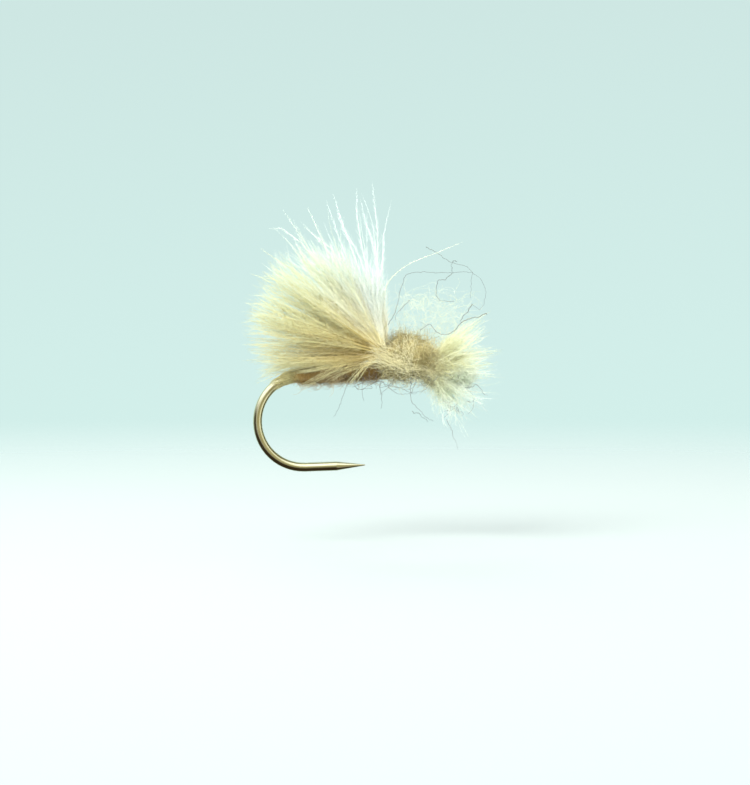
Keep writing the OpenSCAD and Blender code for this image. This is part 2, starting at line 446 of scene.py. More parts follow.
def make_floor():
    """A pale round floor that fades out behind the fly, so no edge shows."""
    bpy.ops.mesh.primitive_circle_add(vertices=96, radius=FLOOR_RADIUS, fill_type="NGON")
    floor = bpy.context.object
    floor.name = "floor"
    floor.location = (CAMERA_AIM[0] * MM, 0, (HOOK_LOW[2] - FLOOR_DROP) * MM)
    floor.rotation_euler = (0, math.radians(CAMERA_ROLL), 0)
    floor.visible_glossy = False
    material, nodes, links, shader = new_material("floor", 0.9)
    set_inputs(shader, {"Base Color": linear((156, 166, 166)), "Specular IOR Level": 0.1})
    where = nodes.new("ShaderNodeTexCoord")
    length = nodes.new("ShaderNodeVectorMath")
    length.operation = "LENGTH"
    links.new(where.outputs["Object"], length.inputs[0])
    fade = map_range(nodes, links, length.outputs["Value"], *FLOOR_FADE)
    fade.interpolation_type = "SMOOTHSTEP"
    clear = nodes.new("ShaderNodeBsdfTransparent")
    mix = mix_shaders(nodes, links, fade.outputs["Result"], shader.outputs["BSDF"], clear.outputs["BSDF"])
    links.new(mix, nodes["Material Output"].inputs["Surface"])
    floor.data.materials.append(material)


def direction_ramp(nodes, links, axis, low, high, stops):
    """A colour that changes with the part of the looking direction along axis, from low to high."""
    where = nodes.new("ShaderNodeTexCoord")
    dot = nodes.new("ShaderNodeVectorMath")
    dot.operation = "DOT_PRODUCT"
    dot.inputs[1].default_value = axis
    links.new(where.outputs["Generated"], dot.inputs[0])
    shift = map_range(nodes, links, dot.outputs["Value"], low, high)
    colours = ramp(nodes, stops)
    links.new(shift.outputs["Result"], colours.inputs["Fac"])
    return colours.outputs["Color"]


def make_world():
    """A pale studio: what the camera sees, what lights the fly, and what its bright wire mirrors."""
    world = bpy.data.worlds.new("studio")
    world.use_nodes = True
    bpy.context.scene.world = world
    nodes, links = world.node_tree.nodes, world.node_tree.links

    def backdrop(colour, strength):
        node = nodes.new("ShaderNodeBackground")
        links.new(colour, node.inputs["Color"])
        node.inputs["Strength"].default_value = strength
        return node.outputs["Background"]

    def by_direction(axis, low, high, stops):
        return direction_ramp(nodes, links, axis, low, high, stops)

    up = (0, 0, 1)
    off_to_on = [(0.0, (0, 0, 0)), (1.0, (255, 255, 255))]
    seen = backdrop(by_direction(up, -0.06, 0.14, [(0.0, (211, 240, 235)), (1.0, (206, 231, 227))]), 1.0)
    pale = [(0.0, (196, 204, 198)), (0.4, (214, 220, 214)), (0.7, (250, 250, 246))]
    shader = backdrop(by_direction(up, -1, 1, pale), LIGHTING_STRENGTH)
    mirror = by_direction((-0.34, 0.94, 0), -1, 1, [
        (0.0, (168, 160, 120)), (0.05, (176, 168, 128)), (0.1, (253, 252, 234)), (0.2, (232, 228, 194)),
        (0.3, (78, 72, 38)), (0.5, (60, 56, 32)), (0.66, (150, 158, 140)), (1.0, (214, 238, 232))])
    overhead = by_direction((-0.38, -0.4, 0.83), 0.58, 0.86, off_to_on)
    bright = [OVERHEAD_STRENGTH * value for value in linear((255, 255, 246))]
    mirror = mix_colours(nodes, links, overhead, mirror, bright)
    below = by_direction((-0.5, -0.3, -0.8), 0.25, 0.7, off_to_on)
    mirror = mix_colours(nodes, links, below, mirror, linear((52, 42, 26)))
    mirrored = backdrop(mirror, MIRROR_STRENGTH)
    path = nodes.new("ShaderNodeLightPath")
    for flag, picture in (("Is Glossy Ray", mirrored), ("Is Camera Ray", seen)):
        shader = mix_shaders(nodes, links, path.outputs[flag], shader, picture)
    links.new(shader, nodes["World Output"].inputs["Surface"])


def area_light(name, towards, distance, size, power, colour):
    """A soft round light that the wire doesn't mirror."""
    data = bpy.data.lights.new(name, "AREA")
    data.shape = "DISK"
    data.size = size
    data.energy = power
    data.color = colour
    light = bpy.data.objects.new(name, data)
    direction = unit(np.array(towards, float))
    light.location = (CAMERA_AIM * MM + direction * distance).tolist()
    turn = math.atan2(direction[1], direction[0])
    light.rotation_euler = (math.acos(direction[2]), 0, turn + math.pi / 2)
    light.visible_glossy = False
    bpy.context.collection.objects.link(light)


# ---- feather barbs
def barbules(fibres, barbs, shade, rng, count, length, lean, radius, along, start=0.04, curl=0.8, steps=2):
    """Fine barbules all round each barb, leaning towards its tip by lean degrees."""
    n = len(barbs)
    t = start + (1 - start) * (np.arange(count) + rng.random((n, count))) / count
    root, tangent = sample_along(barbs, t)
    side = across(rng.normal(size=root.shape), tangent)
    angle = np.radians(lean * rng.uniform(0.4, 1.6, t.shape))[..., None]
    heading = np.cos(angle) * tangent + np.sin(angle) * side
    fullness = (0.4 + 0.6 * np.sin(math.pi * np.clip(t * 0.9 + 0.08, 0, 1))) * (1 - 0.75 * t ** 8)
    lengths = (length * rng.uniform(0.4, 1.15, t.shape) * fullness).ravel()
    turn = rng.normal(0, curl, lengths.shape)
    strands = curly(rng, root.reshape(-1, 3), heading.reshape(-1, 3), lengths, turn, steps)
    place_along = np.interp(t, [0, 1], along).reshape(-1, 1) + np.linspace(0, 0.1, steps + 1)
    tone = np.repeat(shade, count) + rng.normal(0, 0.16, n * count)
    fibres.add(strands, taper(radius, 0.6, steps + 1), tone, place_along)


def add_barbs(fibres, rng, lines, radius, shade, along, barbule_settings, **more):
    """Barbs that thin to 0.4 of their radius, with barbules on them.

    barbule_settings are the count on each barb, length, lean, radius and stretch of the colour bands.
    """
    fibres.add(lines, taper(radius, 0.4, lines.shape[1]), shade, along)
    barbules(fibres, lines, shade, rng, *barbule_settings, **more)


BARB_RINGS = 14
# How far a barb's root may lie from the tie-in.
ROOT_SPREAD = 0.16
# Reach of the wing at each angle above the rear of the shank: degrees, dense down, longest tips.
WING_OUTLINE = np.array([
    (-14, 6.0, 6.6), (-8, 7.1, 7.7), (3, 8.2, 8.7), (13, 8.3, 8.7), (31, 8.6, 9.1), (41, 8.5, 9.4),
    (48, 8.4, 9.9), (56, 7.6, 10.0), (64, 6.8, 9.6), (74, 5.7, 9.6), (82, 5.1, 9.6), (88, 4.6, 9.7),
    (95, 3.6, 6.9)])


def wing_reach(angles, column):
    return np.interp(angles, WING_OUTLINE[:, 0], WING_OUTLINE[:, column])


def fan(rng, angles, lengths, splay=8.5, bow=0.05, curl=0.05, drop=0.0):
    """Barb centre lines from the tie-in; angles are degrees above the rear of the shank."""
    n = len(angles)
    a = np.radians(angles)[:, None]
    b = np.radians(rng.normal(0, splay, n))[:, None]
    out = np.concatenate([-np.cos(a) * np.cos(b), np.sin(b), np.sin(a) * np.cos(b)], axis=1)
    rise = np.concatenate([np.sin(a), 0 * a, np.cos(a)], axis=1)
    t = np.linspace(0, 1, BARB_RINGS)[None, :, None]
    reach = np.asarray(lengths)[:, None, None]
    bend, sway = rng.normal(0, bow, (2, n, 1, 1))
    hook, twist = rng.normal(0, curl, (2, n, 1, 1))
    bend = bend + 0.008 * np.maximum(-4 - np.asarray(angles), 0)[:, None, None]
    ripple = 0.05 * np.sin(rng.uniform(1, 2.6, (n, 1, 1)) * TAU * t + rng.uniform(0, TAU, (n, 1, 1))) * t
    root = TIE_IN - np.array([0, 0, drop]) + rng.normal(0, ROOT_SPREAD, (n, 3)) * np.array([0.7, 1.0, 0.6])
    return (root[:, None] + out[:, None] * reach * (t - 0.25 * bend ** 2 * t ** 2)
            + rise[:, None] * (reach * (bend * t ** 2 + hook * t ** 5) + ripple)
            + np.array([0, 1.0, 0]) * (reach * (sway * t ** 2 + twist * t ** 5) + ripple * 0.8))


PLUMES = {
    # seed, lowest and highest angle, drop of the roots, barbs, barbules on each, their lean, thin wisps
    "wing_plume_low": dict(seed=11, low=-10, high=19, drop=0.22, barbs=145, each=84, lean=44, wisps=18),
    "wing_plume_middle": dict(seed=12, low=14, high=43, drop=0.1, barbs=140, each=94, lean=42, wisps=22),
    "wing_plume_high": dict(seed=13, low=37, high=68, drop=0.0, barbs=130, each=100, lean=36, wisps=8),
    "wing_plume_upright": dict(seed=14, low=62, high=90, drop=0.0, barbs=135, each=80, lean=30, wisps=6),
}
# Locks of clinging barbs in each plume of the wing and in each tuft of the hackle.
LOCKS = 11
# Barbs in each lock of a plume, and barbs laid along each route in SLIPPED.
LOCK_STRANDS = 6
SLIPPED_STRANDS = 5
# Barbs whose barbules cling together into white spikes: routes of (x, z) from the tie-in to the tip.
SPIKES = {
    "wing_plume_low": [
        [(-9.4, 2.22), (-11.15, 2.23), (-12.5, 2.3)],
        [(-9.78, 1.04), (-10.87, 0.81), (-11.6, 0.7)],
        [(-9.23, 4.07), (-10.97, 4.02), (-12.29, 3.75)],
    ],
    "wing_plume_middle": [
        [(-8.72, 6.12), (-10.1, 7.15), (-10.63, 7.55), (-11.16, 7.95)],
        [(-9.61, 5.61), (-10.9, 6.15), (-11.86, 6.51)],
    ],
    "wing_plume_high": [
        [(-8.13, 7.41), (-9.17, 8.53), (-9.91, 9.16), (-10.75, 9.2)],
        [(-7.19, 6.17), (-8.02, 7.4), (-8.94, 8.85), (-9.77, 10.19)],
        [(-6.71, 7.35), (-7.55, 8.26), (-8.6, 9.22)],
        [(-6.63, 6.59), (-7.34, 7.92), (-7.84, 9.14), (-8.34, 10.36)],
    ],
    "wing_plume_upright": [
        [(-6.26, 7.66), (-6.7, 9.1), (-7.19, 10.64)],
        [(-5.33, 6.32), (-5.82, 7.87), (-6.31, 9.41), (-6.79, 11.12)],
        [(-5.01, 6.09), (-5.7, 8.08), (-6.23, 8.9), (-6.6, 10.1)],
        [(-4.85, 6.09), (-5.17, 7.84), (-5.4, 9.81), (-5.36, 11.39)],
        [(-4.47, 7.6), (-4.9, 9.25), (-5.16, 10.7)],
        [(-4.34, 5.2), (-4.22, 8.35), (-4.32, 10.21), (-4.43, 11.63)],
        [(-4.28, 5.2), (-4.04, 6.49), (-3.89, 7.58), (-3.83, 8.66)],
    ],
}
# Pale barbs that have slipped down over the near side of the abdomen, from the wing's root.
SLIPPED = [
    [(-4.5, -0.45, 1.45), (-4.76, -0.68, 1.18), (-5.43, -0.75, 0.66), (-6.0, -0.72, 0.03),
     (-6.22, -0.66, -0.18)],
    [(-4.6, -0.45, 1.4), (-4.98, -0.62, 1.19), (-6.07, -0.68, 1.07), (-6.95, -0.76, 0.72),
     (-7.95, -0.76, 0.21), (-8.73, -0.7, -0.2), (-9.29, -0.62, -0.5)],
    [(-4.32, -0.5, 1.35), (-5.41, -0.55, 1.17), (-6.94, -0.58, 1.2), (-8.69, -0.5, 1.05),
     (-10.0, -0.4, 0.83)],
    [(-4.5, -0.5, 1.2), (-4.77, -0.66, 0.96), (-5.98, -0.74, 0.68), (-6.97, -0.76, 0.39),
     (-7.85, -0.72, -0.01)],
    [(-4.5, -0.5, 1.45), (-5.9, -0.62, 1.12), (-7.2, -0.66, 0.92), (-8.5, -0.62, 0.62), (-9.6, -0.5, 0.5)],
]
WING_BANDS = {
    # place along, dark, light
    "wing_plume_low": [(0.05, (176, 154, 86), (220, 202, 138)), (0.3, (168, 146, 76), (208, 188, 120)),
                       (0.55, (208, 193, 130), (240, 230, 172)),
                       (0.95, (196, 196, 148), (232, 233, 196))],
    "wing_plume_middle": [(0.05, (194, 173, 98), (227, 211, 142)), (0.25, (204, 186, 116), (234, 221, 156)),
                          (0.5, (224, 215, 154), (246, 242, 194)), (0.95, (208, 213, 172), (238, 242, 212))],
    "wing_plume_high": [(0.05, (226, 212, 148), (247, 241, 190)), (0.45, (252, 249, 212), (255, 255, 238)),
                        (0.8, (226, 234, 208), (247, 250, 234)), (1.0, (214, 230, 216), (240, 248, 240))],
    "wing_plume_upright": [(0.05, (252, 245, 200), (255, 254, 226)), (0.45, (253, 252, 226), (255, 255, 243)),
                           (0.7, (228, 240, 228), (250, 253, 246)), (1.0, (214, 232, 226), (238, 248, 245))],
}


def plume_locks(fibres, rng, low, high, drop):
    """Strands that cling together into locks on the near side of the plume."""
    angles = rng.uniform(low, high - 4, LOCKS)
    lengths = wing_reach(angles, 1) * rng.uniform(0.8, 1.04, LOCKS)
    lines = np.repeat(fan(rng, angles, lengths, splay=5, bow=0.1, curl=0.09, drop=drop), LOCK_STRANDS, axis=0)
    stray = 0.5 * rng.normal(size=(len(lines), 1, 3)) * np.linspace(0, 1, BARB_RINGS)[:, None] ** 1.3
    lines = lines - np.array([0, 0.35, 0]) + stray * np.array([0.5, 0.6, 0.5])
    shade = rng.uniform(0.3, 0.9, len(lines))
    add_barbs(fibres, rng, lines, 0.011, shade, None, (36, 0.7, 26, 0.0062, (0.3, 1.0)), start=0.2, curl=1.0)


def plume_spikes(fibres, rng, routes):
    """White spikes along their routes, each at its own depth across the wing."""
    spikes = []
    for route in routes:
        depth = rng.normal(0, 0.7) * np.linspace(0, 1, len(route) + 1) ** 1.3
        points = [(x, y, z) for (x, z), y in zip([TIE_IN[[0, 2]], *route], depth)]
        spikes.append(smooth_path(points, BARB_RINGS))
    spikes = np.stack(spikes)
    tone = rng.uniform(0.85, 1.0, len(spikes))
    settings = (130, 0.8, 19, 0.0052, (0.4, 1.0))
    add_barbs(fibres, rng, spikes, 0.015, tone, None, settings, start=0.35, curl=0.4)


def slipped_barbs(fibres, rng):
    """Bunches along the routes in SLIPPED, which spread towards their tips."""
    paths = np.stack([smooth_path(route, BARB_RINGS) for route in SLIPPED])
    slipped = np.repeat(paths, SLIPPED_STRANDS, axis=0)
    slipped = slipped + (rng.normal(0, 0.14, (len(slipped), 1, 3)) * np.array([1, 0.2, 1])
                         * np.linspace(0.3, 1, BARB_RINGS)[:, None])
    tone = rng.uniform(0.4, 1.0, len(slipped))
    along = np.linspace(0.4, 0.9, BARB_RINGS)
    add_barbs(fibres, rng, slipped, 0.009, tone, along, (60, 0.45, 20, 0.0055, (0.4, 0.9)), curl=0.5)


def make_plume(node, seed, low, high, drop, barbs, each, lean, wisps):
    rng = np.random.default_rng(seed)
    fibres = Fibres()
    angles = rng.uniform(low, high, barbs) + rng.normal(0, 2.2, barbs)
    lengths = wing_reach(angles, 1) * (1.03 - 0.5 * rng.random(barbs) ** 2.8)
    lines = fan(rng, angles, lengths, drop=drop)
    shade = rng.random(barbs)
    add_barbs(fibres, rng, lines, 0.014, shade, None, (each, 0.72, lean, 0.0068, (0.03, 0.95)))

    angles = rng.uniform(low, high, wisps)
    lengths = wing_reach(angles, 2) * rng.uniform(0.86, 0.99, wisps)
    lines = fan(rng, angles, lengths, splay=7, curl=0.08)
    shade = rng.uniform(0.4, 1.0, wisps)
    add_barbs(fibres, rng, lines, 0.012, shade, None, (60, 0.5, 22, 0.0055, (0.3, 1.0)), start=0.3, curl=0.5)

    plume_locks(fibres, rng, low, high, drop)
    plume_spikes(fibres, rng, SPIKES[node])
    if node == "wing_plume_low":
        slipped_barbs(fibres, rng)
    through = 0.3 if node == "wing_plume_upright" else 0.42
    coat = fibre_material(node + "_barbs", WING_BANDS[node], through=through)
    place(fibres.build(node + "_feather", coat), "wing_feather", node)


# ---- dubbed fur
def on_shank(s, phi, rho, x_front):
    """Places s mm behind x_front along the wire, phi round it from the top, rho from its middle."""
    s = np.asarray(s, float)
    straight = x_front - BEND_X
    turn = np.maximum(s - straight, 0) / BEND_R
    arm = BEND_R + rho * np.cos(phi)
    x = x_front - np.minimum(s, straight) - arm * np.sin(turn)
    z = SHANK_Z - BEND_R + arm * np.cos(turn)
    return np.stack(np.broadcast_arrays(x, rho * np.sin(phi), z), axis=-1)


def mottle(seed, s, phi):
    """Slow patches of light and dark over a body, about 0 to 1."""
    rng = np.random.default_rng(seed)
    value = 0.5
    for _ in range(6):
        value = value + 0.15 * np.sin(rng.uniform(0.8, 6) * s + rng.integers(-3, 4) * phi
                                      + rng.uniform(0, TAU))
    return value


def wound_fibres(fibres, rng, surface, count, s_range, lift, sweep, radius, colour, rings=7):
    """Fibres wound round a body: each follows the skin and its far end lifts off."""
    s0 = rng.uniform(*s_range, count)[:, None]
    phi0 = rng.uniform(0, TAU, count)[:, None]
    t = np.linspace(0, 1, rings)[None]
    arc = rng.normal(sweep, sweep * 0.4, count)[:, None] * rng.choice([-1, 1], count, p=[0.25, 0.75])[:, None]
    high = np.abs(rng.normal(0, lift, count))[:, None]
    wobble = 0.01 * np.sin(TAU * t * rng.uniform(1, 3, (count, 1)) + rng.uniform(0, TAU, (count, 1)))
    s = s0 + rng.normal(0, 0.25, count)[:, None] * t
    points = surface(s, phi0 + arc * t, 0.012 + wobble + high * t ** 2.5)
    shade, along = colour(s0[:, 0], phi0[:, 0])
    shade = shade + rng.normal(0, 0.25, count)
    fibres.add(points, taper(radius, 0.5, rings), shade, along[:, None])


def tangled_fibres(fibres, rng, surface, count, s_range, length, lift, turn, radius, colour, steps=5,
                   phi_range=(0, TAU), forward=0.0):
    """Loose curly fibres that start in the skin and head off along it, raised by lift."""
    s = rng.uniform(*s_range, count)
    phi = rng.uniform(*phi_range, count)
    root = surface(s, phi, -0.04)
    normal = unit(surface(s, phi, 0.1) - surface(s, phi, 0))
    round_it = unit(surface(s, phi + 0.01, 0) - surface(s, phi - 0.01, 0))
    bearing = rng.uniform(0, TAU, count)[:, None]
    heading = (np.cos(bearing) * round_it + np.sin(bearing) * np.cross(normal, round_it)
               + normal * np.abs(rng.normal(0, lift, count))[:, None] + np.array([forward, 0, 0]))
    strands = curly(rng, root, heading, rng.uniform(*length, count), rng.uniform(*turn, count), steps)
    shade, along = colour(s, phi)
    shade = shade + rng.normal(0, 0.25, count)
    fibres.add(strands, taper(radius, 0.55, steps + 1), shade, along[:, None])


def closing(s, end, reach):
    """Share of the full section at s: 1 along the body, down to 0 within reach of either end."""
    return (np.clip(np.minimum(s, end - s) / reach, 0, 1) ** 0.5)[..., None]


def trailing_fibres(fibres, rng, end, x_front):
    """The last fibres of the body, which thin out over the end of the thread base and the bare wire."""
    count, rings = 360, 8
    t = np.linspace(0, 1, rings)[None]
    past = rng.uniform(0, 1, (count, 1)) ** 1.5 * 0.85 + rng.uniform(0.25, 0.75, (count, 1)) * t
    out = WIRE_R + np.interp(past, [0, 0.5, 0.68, 1.6], [0.085, 0.08, 0.03, 0.012])
    out = out + rng.uniform(0, 0.02, (count, 1))
    phi = rng.uniform(0, TAU, (count, 1)) + rng.normal(0.7, 0.5, (count, 1)) * t
    points = on_shank(end + past, phi, out, x_front)
    fibres.add(points, taper(0.009, 0.5, rings), rng.uniform(0, 1, count), np.full((count, 1), 0.99))


def make_abdomen():
    rng = np.random.default_rng(21)
    x_front = ABDOMEN_HIGH[0]
    length = x_front - ABDOMEN_LOW[0]
    full = (ABDOMEN_HIGH[1] - ABDOMEN_LOW[1]) / 2
    end = 0.97 * length

    def surface(s, phi, out):
        u = np.asarray(s) / length
        top = np.interp(u, [0, 0.06, 0.3, 0.62, 0.76, 0.87, 0.97], [0.78, 0.92, 0.96, 0.9, 0.7, 0.54, 0.47])
        under = np.interp(u, [0, 0.25, 0.6, 0.8, 0.9, 0.97], [0.56, 0.62, 0.74, 0.78, 0.64, 0.5])
        low = 0.5 - 0.5 * np.cos(phi)
        ridge = 0.014 * np.cos(phi - TAU * 1.9 * s + 1.2 * np.sin(1.7 * s))
        lumps = 0.024 * np.sin(3.1 * s + 1.3 * np.sin(phi)) + 0.016 * np.sin(7.3 * s + 2 * phi)
        return on_shank(s, phi, full * (top * (1 - low) + under * low) + ridge + lumps + out, x_front)

    def closed(s, phi):
        core = on_shank(s, phi, 0.3 * WIRE_R, x_front)
        return core + (surface(s, phi, -0.02) - core) * closing(s, end, 0.1)

    def colour(s, phi):
        return mottle(5, s, phi) * 0.9, s / end

    fibres = Fibres()
    wound_fibres(fibres, rng, surface, 2300, (0, end - 0.1), 0.03, 1.4, 0.009, colour)
    tangled_fibres(fibres, rng, surface, 2200, (0, end - 0.3), (0.2, 0.6), 0.18, (1.5, 4), 0.007, colour)
    tangled_fibres(fibres, rng, surface, 200, (0, end - 0.5), (0.3, 0.9), 0.5, (2, 6), 0.0065,
                   lambda s, phi: (rng.uniform(0.5, 1, s.shape), 0 * s + 0.5), 7, (1.9, 4.4))
    tangled_fibres(fibres, rng, surface, 280, (0, end - 0.4), (0.4, 1.2), 2.5, (2, 8), 0.0095,
                   lambda s, phi: (rng.uniform(0.3, 1, s.shape), 0 * s + 0.45), 9, (2.5, 3.8))
    tangled_fibres(fibres, rng, surface, 240, (end - 0.6, end - 0.05), (0.25, 0.6), 0.03, (0.3, 1.6), 0.008,
                   lambda s, phi: (rng.uniform(0, 0.6, s.shape), 0 * s + 0.98), 6, forward=-1.2)
    trailing_fibres(fibres, rng, end, x_front)
    coat = fibre_material("abdomen_fibres", [
        (0.0, (76, 56, 18), (138, 110, 52)), (0.1, (72, 50, 14), (142, 110, 48)),
        (0.28, (88, 66, 26), (164, 138, 80)), (0.5, (112, 92, 52), (204, 186, 142)),
        (0.8, (104, 78, 32), (190, 160, 98)), (0.93, (108, 86, 38), (180, 150, 86)),
        (1.0, (150, 144, 92), (212, 208, 156))], sheen=0.15, through=0.25)
    place(fibres.build("abdomen_fur", coat), "abdomen_fur", "abdomen_dubbing")
    skin = lathe("abdomen_underfur", closed, np.linspace(0, end, 150), 72,
                 fur_skin_material("abdomen_skin", (92, 68, 28), (150, 124, 68)))
    place(skin, "abdomen_fur", "abdomen_dubbing")


# Thorax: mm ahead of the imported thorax's front, share of its radius, share of its rise over the shank.
THORAX_SHAPE = np.array([
    (0.85, 0.36, 0.2), (0.7, 0.5, 0.35), (0.3, 0.64, 0.75), (-0.35, 0.84, 1.0), (-1.0, 0.88, 0.96),
    (-1.6, 0.76, 0.88), (-2.0, 0.6, 0.8), (-2.3, 0.44, 0.76), (-2.45, 0.32, 0.72)])


def thorax_surface(s, phi, out):
    ahead = THORAX_SHAPE[0, 0] - s
    radius = (THORAX_HIGH[1] - THORAX_LOW[1]) / 2
    rise = THORAX_HIGH[2] - radius - SHANK_Z
    share, up = (np.interp(-ahead, -THORAX_SHAPE[:, 0], THORAX_SHAPE[:, k]) for k in (1, 2))
    lumps = (0.09 * np.sin(3.7 * s + 2 * np.sin(phi)) + 0.07 * np.sin(7.1 * s + 3 * phi)
             + 0.04 * np.sin(13 * s - 5 * phi))
    rho = radius * share + lumps + out
    return np.stack(np.broadcast_arrays(THORAX_HIGH[0] + ahead, rho * np.sin(phi),
                                        SHANK_Z + rise * up + rho * np.cos(phi)), axis=-1)


# Pale fibres lying over the near side of the thorax.
THORAX_STRANDS = [
    [(-4.3, -0.6, 1.45), (-3.78, -1.1, 1.15), (-2.93, -1.45, 0.57), (-2.17, -1.4, 0.54), (-1.52, -1.1, 0.3),
     (-0.99, -0.9, -0.05)],
    [(-2.85, -1.2, 0.75), (-2.72, -1.48, 1.2), (-2.62, -1.45, 1.7), (-2.66, -1.2, 2.2)],
    [(-2.62, -1.25, 0.6), (-2.55, -1.5, 1.1), (-2.66, -1.42, 1.7), (-2.78, -1.15, 2.25)],
    [(-2.95, -1.25, 0.9), (-2.8, -1.46, 1.5), (-2.5, -1.3, 2.05)],
    [(-4.2, -0.6, 1.7), (-3.7, -1.1, 1.6), (-3.2, -1.4, 1.2), (-2.9, -1.46, 0.75), (-2.7, -1.35, 0.3)],
    [(-4.0, -0.7, 0.9), (-3.5, -1.2, 0.85), (-3.0, -1.42, 0.6), (-2.3, -1.4, 0.15)],
    [(-4.7, -0.5, 1.5), (-4.1, -0.95, 1.25), (-3.4, -1.35, 1.0), (-2.7, -1.5, 0.95)],
    [(-4.5, -0.5, 1.2), (-3.9, -0.95, 0.95), (-3.2, -1.35, 0.8), (-2.5, -1.5, 0.9)],
    [(-5.4, -0.75, 1.15), (-4.6, -0.95, 1.2), (-3.9, -1.15, 1.05), (-3.2, -1.4, 0.85)],
    [(-5.0, -0.7, 1.65), (-4.3, -1.0, 1.5), (-3.6, -1.3, 1.2), (-2.9, -1.5, 0.9)],
    [(-5.2, -0.7, 0.85), (-4.5, -0.9, 0.8), (-3.8, -1.1, 0.7), (-3.1, -1.35, 0.6)],
    [(-4.7, -0.6, 2.1), (-4.2, -0.95, 1.75), (-3.7, -1.25, 1.3), (-3.1, -1.45, 1.0)],
]


def make_thorax():
    rng = np.random.default_rng(22)
    length = THORAX_SHAPE[0, 0] - THORAX_SHAPE[-1, 0]

    def closed(s, phi):
        core = np.stack([THORAX_HIGH[0] + THORAX_SHAPE[0, 0] - s, 0.3 * WIRE_R * np.sin(phi),
                         SHANK_Z + 0.3 * WIRE_R * np.cos(phi)], axis=-1)
        return core + (thorax_surface(s, phi, -0.14) - core) * closing(s, length, 0.12)

    def colour(s, phi):
        light = 1.5 * mottle(9, 1.5 * s, phi) - 0.25
        along = np.clip(s / length + 0.5 * mottle(6, 2 * s, phi) - 0.25, 0, 0.9)
        # Painted shade: each fibre's tone is made darker towards the underside of the thorax (by cos phi),
        # where the body shades itself.
        return light * (0.95 + 0.05 * np.cos(phi)), along

    fibres = Fibres()
    # count, stretch of the body, length, lift, turn, radius, steps, pull forward
    for count, stretch, reach, lift, turn, radius, steps, forward in (
            (3300, (0, length), (0.4, 1.0), 0.3, (2, 5), 0.0085, 5, 0.0),
            (650, (0, length), (0.8, 1.7), 0.6, (2, 5.5), 0.0065, 8, 0.0),
            (520, (0, 0.9), (0.8, 1.9), 0.5, (1.5, 4.5), 0.0075, 8, 0.8)):
        tangled_fibres(fibres, rng, thorax_surface, count, stretch, reach, lift, turn, radius, colour, steps,
                       forward=forward)
    tangled_fibres(fibres, rng, thorax_surface, 380, (0, length), (0.7, 1.8), 0.7, (3, 8), 0.0065,
                   lambda s, phi: (rng.uniform(0.3, 1, s.shape), 0 * s + 0.97), 9, (2.2, 4.1))
    bunch, rings = 18, 12
    for index, route in enumerate(THORAX_STRANDS):
        spread, radius, low = (0.095, 0.0062, 0.5) if index == 0 else (0.17, 0.006, 0.45)
        strands = (smooth_path(route, rings)[None] + rng.normal(0, spread, (bunch, 1, 3))
                   + np.cumsum(rng.normal(0, spread * 0.45, (bunch, rings, 3)), axis=1))
        fibres.add(strands, radius, rng.uniform(low, 1.0, bunch), np.full((bunch, 1), 0.97))
    coat = fibre_material("thorax_fibres", [
        (0.0, (168, 156, 102), (232, 224, 172)), (0.26, (150, 138, 84), (222, 213, 158)),
        (0.5, (126, 113, 62), (200, 189, 134)), (0.8, (138, 124, 71), (213, 203, 148)),
        (0.97, (196, 186, 130), (246, 242, 204))], through=0.35)
    place(fibres.build("thorax_fur", coat), "thorax_fur", "thorax_dubbing")
    skin = lathe("thorax_underfur", closed, np.linspace(0, length, 70), 64,
                 fur_skin_material("thorax_skin", (150, 136, 84), (206, 194, 140)))
    place(skin, "thorax_fur", "thorax_dubbing")


